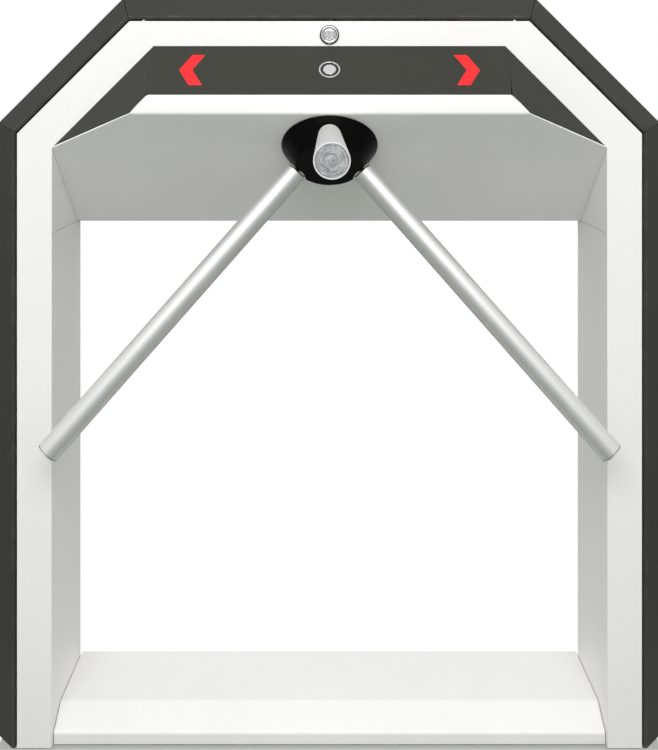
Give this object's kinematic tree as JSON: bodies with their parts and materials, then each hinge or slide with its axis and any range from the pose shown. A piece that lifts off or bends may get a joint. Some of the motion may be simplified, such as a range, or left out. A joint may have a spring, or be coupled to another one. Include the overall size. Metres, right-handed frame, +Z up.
{
  "type": "visitor counter turnstile",
  "caption": "Waist-high tripod turnstile built as a chamfered arch with hollow legs, a low plinth, a nosed housing with lit arrows, and a three-arm rotor on an inclined shaft.",
  "frame": {"origin": "on the floor, at the centre of the rectangle of four anchor holes", "axes": "+X to the right across the passage as seen from the front, +Y from the front to the rear, +Z up; the nose and the front arm point to -Y"},
  "size_m": [0.972, 0.7604, 1.086],
  "materials": {
    "white_paint": "fine-textured powder coat, satin white",
    "charcoal_paint": "fine-textured powder coat, charcoal",
    "stainless_steel": "satin, brushed round the tube",
    "turned_aluminium": "faced on a lathe",
    "black_plastic": "satin black",
    "red_lens": "lit red acrylic",
    "chrome": "polished",
    "machined_steel": "machined, oiled",
    "zinc_steel": "zinc plated",
    "circuit_board": "solder mask",
    "cable_rubber": "matt sheath"
  },
  "bodies": {
    "arch": {"front_panel": "white_paint", "rear_panel": "white_paint", "housing_ends": "white_paint", "housing_shell": "white_paint", "indicator_fascia": "charcoal_paint", "left_nose_side": "charcoal_paint", "right_nose_side": "charcoal_paint", "left_arrow_lens": "red_lens", "right_arrow_lens": "red_lens", "led_boards": "circuit_board", "fascia_badge": "chrome", "left_side_cover": "charcoal_paint", "right_side_cover": "charcoal_paint", "left_corner_cover": "charcoal_paint", "right_corner_cover": "charcoal_paint", "lid_hinge_fixed_leaves": "zinc_steel", "lid_hinge_pins": "machined_steel", "lock_body": "chrome", "lock_nut": "zinc_steel", "plinth_cover": "white_paint", "floor_tie_channel": "zinc_steel", "left_base_plate": "zinc_steel", "right_base_plate": "zinc_steel", "left_post": "zinc_steel", "right_post": "zinc_steel", "cross_beam": "zinc_steel", "supply_cable": "cable_rubber", "control_board": "circuit_board", "power_supply": "zinc_steel", "mechanism_plate": "zinc_steel", "mechanism_screws": "machined_steel", "bearing_housing": "zinc_steel", "shaft_bearings": "machined_steel", "rotation_sensor": "circuit_board", "centring_damper": "black_plastic", "pawl_pins": "machined_steel", "solenoids": "black_plastic"},
    "rotor": {"main_shaft": "machined_steel", "shaft_nut": "machined_steel", "hub_carrier": "zinc_steel", "hub_cover": "black_plastic", "arm_1": "stainless_steel", "arm_2": "stainless_steel", "arm_3": "stainless_steel", "arm_collars": "stainless_steel", "arm_caps": "turned_aluminium", "lock_disc": "machined_steel", "drive_gear": "machined_steel", "encoder_disc": "black_plastic"},
    "damper_shaft": {"damper_pinion": "machined_steel"},
    "left_pawl": {"left_pawl": "machined_steel"},
    "right_pawl": {"right_pawl": "machined_steel"},
    "left_plunger": {"left_plunger": "machined_steel"},
    "right_plunger": {"right_plunger": "machined_steel"},
    "lid": {"top_lid": "charcoal_paint", "lid_hook": "zinc_steel", "lid_hinge_moving_leaves": "zinc_steel"},
    "lock_cylinder": {"lock_plug": "chrome", "lock_cam": "zinc_steel"}
  },
  "joints": [
    {"name": "rotor_spin", "type": "hinge", "parent": "arch", "child": "rotor", "pos_m": [0, -0.07886, 0.88653], "axis": [0, -0.6494, -0.7604], "continuous": true},
    {"name": "damper_spin", "type": "hinge", "parent": "arch", "child": "damper_shaft", "pos_m": [0.06, -0.02691, 0.94736], "axis": [0, -0.6494, -0.7604], "continuous": true},
    {"name": "left_pawl_turn", "type": "hinge", "parent": "arch", "child": "left_pawl", "pos_m": [-0.049, -0.03606, 0.84734], "axis": [0, 0.6494, 0.7604], "range_deg": [0, 6.9], "stiffness_Nm_per_rad": 3, "springref_deg": -2.86},
    {"name": "right_pawl_turn", "type": "hinge", "parent": "arch", "child": "right_pawl", "pos_m": [0.049, -0.03606, 0.84734], "axis": [0, -0.6494, -0.7604], "range_deg": [0, 6.9], "stiffness_Nm_per_rad": 3, "springref_deg": -2.86},
    {"name": "left_plunger_slide", "type": "slide", "parent": "arch", "child": "left_plunger", "axis": [1, 0, 0], "range_m": [0, 0.01036]},
    {"name": "right_plunger_slide", "type": "slide", "parent": "arch", "child": "right_plunger", "axis": [-1, 0, 0], "range_m": [0, 0.01036]},
    {"name": "lid_hinge", "type": "hinge", "parent": "arch", "child": "lid", "pos_m": [0, 0.091, 1.0675], "axis": [-1, 0, 0], "range_deg": [0, 85]},
    {"name": "lock_turn", "type": "hinge", "parent": "arch", "child": "lock_cylinder", "pos_m": [0, -0.0875, 1.0292], "axis": [0, 1, 0], "range_deg": [0, 90]}
  ],
  "couplings": [
    {"joint": "damper_spin", "follows": "rotor_spin", "ratio": -3},
    {"joint": "left_plunger_slide", "follows": "left_pawl_turn", "m_per_rad": 0.085209},
    {"joint": "right_plunger_slide", "follows": "right_pawl_turn", "m_per_rad": 0.085209}
  ]
}
